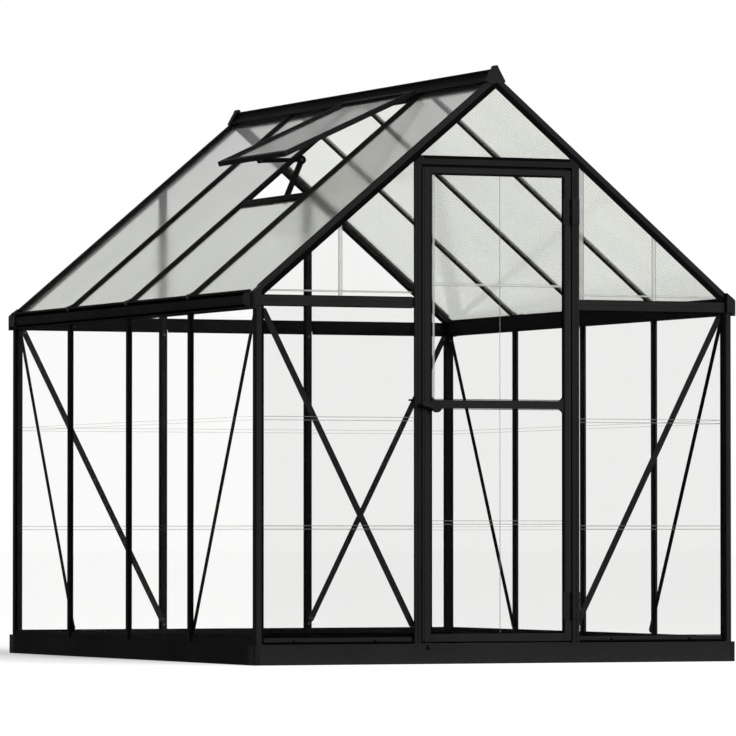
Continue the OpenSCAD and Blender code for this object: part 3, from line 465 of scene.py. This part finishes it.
def revolve(bm, prof, centre, axis, seg=14):
    """Turned shape: radius and height pairs round an axis through centre."""
    z = Vector(axis).normalized()
    x = z.orthogonal().normalized()
    y = z.cross(x)
    rings = []
    for r, h in prof:
        o = Vector(centre) + z * h
        if r == 0:
            rings.append(put(bm, [o]))
        else:
            rings.append(put(bm, [o + (x * math.cos(a) + y * math.sin(a)) * r
                                  for a in (2 * math.pi * i / seg for i in range(seg))]))
    for a, b in zip(rings, rings[1:]):
        for i in range(seg):
            j = (i + 1) % seg
            f = [a[i % len(a)], a[j % len(a)], b[j % len(b)], b[i % len(b)]]
            f = [v for k, v in enumerate(f) if v not in f[:k]]
            if len(f) > 2:
                bm.faces.new(f)
    for ring in (rings[0], rings[-1]):
        if len(ring) > 2:
            bm.faces.new(ring)


def bead(bm, along, a0, a1, mid, plane, out, width=2.4, height=0.7):
    """Low rounded line on a face.

    along: its direction, from a0 to a1; mid: its place across; plane: the face; out: the way it stands.
    """
    h = width / 2
    prof = [(-h, 0.0), (h, 0.0), (0.6 * h, 0.7 * height), (0.0, height), (-0.6 * h, 0.7 * height)]
    pts = [(plane + out * d, mid + s) for s, d in prof]
    if along == "z":
        pts = [p[::-1] for p in pts]
    prism(bm, pts, along, a0, a1)


def left_slope(u, y, w):
    """Point on the left roof slope: u down from the apex, w out of the roof."""
    c, s = math.cos(PITCH), math.sin(PITCH)
    return (-(u * c + w * s), y, APEX - u * s + w * c)


def rafter_strip(bm, sx, sy, foot):
    """Rubber strip in the lower step of a gable rafter, mitred at the apex and cut level at the foot."""
    head, tail = [], []
    for y, w in RAFTER_STRIP:
        for ends, u in ((head, -w * math.tan(PITCH) + 0.2),
                        (tail, (APEX + w * math.cos(PITCH) - foot) / math.sin(PITCH))):
            x, _, z = left_slope(u, 0.0, w)
            ends.append((-sx * x, sy * y, z))
    loft(bm, head, tail)


def piece(name, bm, body, mat, bevel=0.0, smooth=True):
    bmesh.ops.recalc_face_normals(bm, faces=bm.faces)
    me = bpy.data.meshes.new(name)
    bm.to_mesh(me)
    bm.free()
    for f in me.polygons:
        f.use_smooth = smooth
    ob = bpy.data.objects.new(name, me)
    bpy.context.collection.objects.link(ob)
    me.materials.append(mat)
    if bevel:
        soften(ob, bevel)
    if smooth:
        w = ob.modifiers.new("normals", "WEIGHTED_NORMAL")
        w.keep_sharp = True
    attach(ob, body)


def add_bolts(mats):
    # nuts on the ends of the flat bars, towards the room
    bm = bmesh.new()
    for sx in (-1, 1):
        for sy, foot in ((-1, (321.0, 142.0)), (1, (313.0, 127.0))):
            for x, z in ((876.0, 1221.0), foot):
                revolve(bm, NUT, (sx * x, sy * END_BRACE_IN, z), (0, -sy, 0), 6)
            for y, z in ((1176.0, 1214.0), (602.0, 107.0)):
                revolve(bm, NUT, (sx * SIDE_BRACE_IN, sy * y, z), (-sx, 0, 0), 6)
    piece("brace_nuts", bm, "frame", mats["steel"], smooth=False)
    # heads on the inner flanges of the side posts, the rear posts and the door posts
    bm = bmesh.new()
    for sx in (-1, 1):
        for y in SIDE_POSTS:
            for z in (1226.0, 100.0):
                revolve(bm, BUTTON, (sx * SIDE_POST_IN, y, z), (-sx, 0, 0))
    for sx in (-1, 1):
        for z in (1222.0, 105.0):
            revolve(bm, BUTTON, (sx * 302.5, END_POST_IN, z), (0, -1, 0))
            revolve(bm, BUTTON, (sx * 302.0, -END_POST_IN, z), (0, 1, 0))
    piece("post_bolts", bm, "frame", mats["steel"])
    # screws of the base corners
    bm = bmesh.new()
    for sx in (-1, 1):
        for sy in (-1, 1):
            for z in (19.0, 53.0):
                revolve(bm, PAN, (sx * 925.0, sy * 1198.0, z), (sx, 0, 0))
    piece("base_corner_screws", bm, "frame", mats["plastic"])
    # screws of the hinges: frame half and leaf half
    for name, body, x, y in (("hinge_plate_screws", "frame", 306.0, -1227.0),
                             ("hinge_leaf_screws", "door", 264.0, -1232.0)):
        bm = bmesh.new()
        for z0 in (155.6, 1542.8):
            for dz in (15.0, 46.5, 78.0):
                revolve(bm, PAN, (x, y, z0 + dz), (0, -1, 0))
        piece(name, bm, body, mats["plastic"])
    # rivets of the window stay
    bm = bmesh.new()
    for u, w, y0, y1 in STAY_PINS:
        revolve(bm, RIVET, left_slope(u, y0, w), (0, -1, 0))
        revolve(bm, RIVET, left_slope(u, y1, w), (0, 1, 0))
    piece("stay_rivets", bm, "frame", mats["steel"])


def add_small_parts(mats):
    # spring clips on the sill rails of the front
    bm = bmesh.new()
    for x in (-760.0, -455.0, 455.0, 760.0):
        prism(bm, [(-y, z) for y, z in SILL_CLIP], "x", x - 10, x + 10)
    piece("sill_clips", bm, "frame", mats["plastic"], 0.8)
    # rubber seal in the corner between the base and the sills of the two ends; its black also stands in for
    # the shadow gap under the sills, as painted shade
    bm = bmesh.new()
    for sy in (-1, 1):
        for a0, a1 in ((-885.8, -318.2), (318.2, 885.8)):
            prism(bm, [(sy * y, z) for y, z in SILL_SEAL], "x", a0, a1)
    piece("sill_seals_and_shadow", bm, "frame", mats["seal"])
    # stop peg of the door on the base
    bm = bmesh.new()
    revolve(bm, PEG, (-267.0, -1235.0, 60.0), (0, -1, 0), 20)
    piece("door_stop_peg", bm, "frame", mats["plastic"])
    # catch plate behind the door post
    bm = bmesh.new()
    prism(bm, CATCH_PLATE, "y", -END_POST_IN, -1200.5)
    piece("door_catch_plate", bm, "frame", mats["plastic"], 0.6)
    # screw cap of the handle
    bm = bmesh.new()
    revolve(bm, CAP, (-242.0, -1249.0, 899.0), (0, -1, 0), 20)
    piece("handle_cap", bm, "latch", mats["plastic"])
    # clips on the lip of the gutter beside the lower ends of the roof bars
    bm = bmesh.new()
    for sx in (-1, 1):
        for y in (-628.0, -22.0, 584.0):
            prism(bm, [(sx * x, z) for x, z in GUTTER_CLIP], "y", y - 11, y + 11)
    piece("gutter_lip_clips", bm, "frame", mats["grey_plastic"], 1.0)
    # clips that hold the fixed sill of the roof window to the sheet
    bm = bmesh.new()
    for y in (-584.0, -303.0, -24.0):
        loft(bm, *([left_slope(u, y + d, w) for u, w in WINDOW_CLIP] for d in (-8, 8)))
    piece("window_sill_clips", bm, "frame", mats["plastic"], 0.6)


def add_sheet_lines(mats):
    # edges of the formed ribs
    bm = bmesh.new()
    for z in RIB_LINES:
        for a0, a1 in FRONT_BAYS:
            bead(bm, "x", a0, a1, z, -END_SHEET, -1)
    piece("front_rib_lines", bm, "frame", mats["seam"])
    bm = bmesh.new()
    for z in RIB_LINES:
        for a0, a1 in REAR_BAYS:
            bead(bm, "x", a0, a1, z, END_SHEET, 1)
        for sx in (-1, 1):
            for a0, a1 in SIDE_BAYS:
                bead(bm, "y", a0, a1, z, sx * SIDE_SHEET, sx)
    piece("side_rib_lines", bm, "frame", mats["seam_side"])
    bm = bmesh.new()
    for z in DOOR_RIB_LINES:
        bead(bm, "x", -LEAF_HALF, LEAF_HALF, z, DOOR_SHEET, -1)
    piece("door_rib_lines", bm, "door", mats["seam"])
    # joining strips of the gable sheets and of the upper door sheet
    bm = bmesh.new()
    for x, top in ((-592.5, 1530.0), (617.0, 1508.0)):
        bead(bm, "z", 1279.0, top, x, -END_SHEET, -1, 16.0, 1.6)
    for a0, a1 in ((-880.0, -318.0), (318.0, 880.0)):
        bead(bm, "x", a0, a1, 1295.5, -END_SHEET, -1, 7.0, 1.2)
    piece("gable_joiners", bm, "frame", mats["joiner"])
    bm = bmesh.new()
    bead(bm, "z", 1279.0, 1743.0, 331.0, -END_SHEET, -1, 22.0, 1.4)
    piece("post_joiner", bm, "frame", mats["joiner_post"])
    bm = bmesh.new()
    bead(bm, "z", *UPPER_PANE, -244.0, DOOR_SHEET, -1, 9.0, 1.2)
    bead(bm, "x", -LEAF_HALF, LEAF_HALF, 1325.0, DOOR_SHEET, -1, 9.5, 1.2)
    piece("door_joiners", bm, "door", mats["joiner"])
    bm = bmesh.new()
    for pane in (UPPER_PANE, LOWER_PANE):
        bead(bm, "z", *pane, 10.7, DOOR_SHEET, -1, 3.0, 0.8)
    piece("door_seam_lines", bm, "door", mats["seam"])


def add_gaskets_and_shadow_strips(mats):
    # strips in the rafters, along the head of the door case and down the corner posts, and black strips
    # along the gutters as painted shade
    bm = bmesh.new()
    for sx in (-1, 1):
        rafter_strip(bm, sx, -1, FRONT_RAFTER_FOOT)
        rafter_strip(bm, sx, 1, REAR_RAFTER_FOOT)
    piece("rafter_strips", bm, "frame", mats["seal"], smooth=False)
    bm = bmesh.new()
    bead(bm, "x", -281.0, 281.0, 1769.6, CASE_FACE, -1, 10.4, 0.6)
    piece("header_strip", bm, "frame", mats["seal"])
    bm = bmesh.new()
    for mid, width in ((-890.2, 8.0), (891.0, 9.6)):
        for sy in (-1, 1):
            bead(bm, "z", 72.0, 1241.0, mid, sy * CORNER_FACE, sy, width, 0.6)
    piece("corner_post_strips", bm, "frame", mats["seal"])
    # painted shade: black beads along the gutters where the shadow lines under the gutter's steps fall
    bm = bmesh.new()
    for sx in (-1, 1):
        for z, x, width in ((1284.0, 930.0, 11.0), (1243.0, 927.0, 8.0)):
            bead(bm, "y", -1150.0, 1150.0, z, sx * x, sx, width, 0.6)
    piece("gutter_shadow_strips", bm, "frame", mats["seal"])
    # gaskets along the sheets of the front
    bm = bmesh.new()
    for a0, a1 in ((-885.5, -318.5), (318.5, 885.5)):
        for z in (95.0, 1240.8, 1279.2):
            bead(bm, "x", a0, a1, z, -END_SHEET, -1, 2.4, 1.6)
    piece("front_gaskets", bm, "frame", mats["seal"])
    # gaskets round the two sheets of the leaf, with the strips in the edges of the bars round them
    bm = bmesh.new()
    for z0, z1 in ((104.8, 890.8), (922.2, 1709.6)):
        for z in (z0 + 1.2, z1 - 1.2):
            bead(bm, "x", -252.8, 252.8, z, DOOR_SHEET, -1, 2.4, 4.0)
        for sx in (-1, 1):
            bead(bm, "z", z0 + 2.4, z1 - 2.4, sx * 251.6, DOOR_SHEET, -1, 2.4, 5.0)
    for sx in (-1, 1):
        bead(bm, "z", 104.8, 1709.6, sx * 255.4, LEAF_FACE, -1, 4.4, 0.5)
    bead(bm, "x", -253.0, 253.0, 1712.0, LEAF_FACE, -1, 4.0, 0.5)
    piece("door_gaskets", bm, "door", mats["seal"])
    # lip of the leaf that closes over the door post
    bm = bmesh.new()
    prism(bm, LEAF_LIP, "z", 79.0, 1732.0)
    piece("door_lip", bm, "door", mats["coat_z"], 0.4)


# how bright the floor shows, what the painted soft shadow on the left takes from it, and how much the world
# lights
FLOOR_GLOW = 0.88
FLOOR_PAINTED_SHADOW = 0.6
WORLD_LEVEL = 0.15


def add_floor():
    bpy.ops.mesh.primitive_plane_add(size=300, location=(0, 0, -0.0005))
    floor = bpy.context.object
    floor.name = "floor"
    t = material("floor")
    p = t.principled(**{"Base Color": (0.3, 0.3, 0.3, 1), "Roughness": 0.9, "Specular IOR Level": 0.1})
    path = t.add("ShaderNodeLightPath").outputs
    rays = t.math("ADD", path["Is Camera Ray"], path["Is Glossy Ray"])
    see = t.math("MINIMUM", t.math("ADD", rays, path["Is Transmission Ray"]), 1.0)
    # painted shadow: a soft band that takes glow off the floor to the left of the house, strongest along its
    # left side and fading to the front and far behind
    beside = t.ramp(t.map(t.axis("X"), -2.4, -0.3),
                    [(0.0, 0.0), (0.385, 0.12), (0.595, 0.4), (0.69, 0.75), (0.75, 0.68), (1.0, 0.0)])
    behind = t.ramp(t.map(t.axis("Y"), -1.6, 3.0),
                    [(0.0, 0.0), (0.12, 0.3), (0.45, 1.0), (0.75, 0.7), (1.0, 0.0)])
    shade = t.times(t.times(beside, behind), FLOOR_PAINTED_SHADOW)
    glow = t.add("ShaderNodeEmission")
    glow.inputs["Color"].default_value = (1, 1, 1, 1)
    t.link(t.times(see, t.math("SUBTRACT", FLOOR_GLOW, shade)), glow.inputs["Strength"])
    both = t.add("ShaderNodeAddShader")
    t.link(p.outputs[0], both.inputs[0])
    t.link(glow.outputs[0], both.inputs[1])
    floor.data.materials.append(t.done(both.outputs[0]))


def add_world():
    """White where it is looked at, straight or through a sheet; faint where it lights surfaces."""
    world = bpy.data.worlds.new("studio")
    bpy.context.scene.world = world
    t = Tree(world, "ShaderNodeOutputWorld")
    path = t.add("ShaderNodeLightPath").outputs
    seen = t.math("MAXIMUM", path["Is Camera Ray"], path["Is Transmission Ray"])
    seen = t.math("MAXIMUM", seen, path["Is Glossy Ray"])
    white = t.times(seen, t.math("LESS_THAN", path["Diffuse Depth"], 0.5))
    bg = t.add("ShaderNodeBackground")
    bg.inputs["Color"].default_value = (1, 1, 1, 1)
    t.link(t.map(white, 0.0, 1.0, WORLD_LEVEL, 1.0), bg.inputs["Strength"])
    t.done(bg.outputs[0])


def area(name, loc, target, size, power):
    lamp = bpy.data.lights.new(name, "AREA")
    lamp.shape = "RECTANGLE"
    lamp.size, lamp.size_y = size
    lamp.energy = power
    ob = bpy.data.objects.new(name, lamp)
    ob.location = loc
    ob.rotation_euler = (Vector(target) - Vector(loc)).to_track_quat("-Z", "Y").to_euler()
    bpy.context.collection.objects.link(ob)


add_camera()
mats = make_materials()
dress_cad(mats)
add_bolts(mats)
add_small_parts(mats)
add_sheet_lines(mats)
add_gaskets_and_shadow_strips(mats)
add_floor()
add_world()
area("key", loc=(4.5, -9.0, 5.0), target=(0, 0, 1), size=(6, 5), power=1000)

view = bpy.context.scene.view_settings
view.view_transform = "Standard"
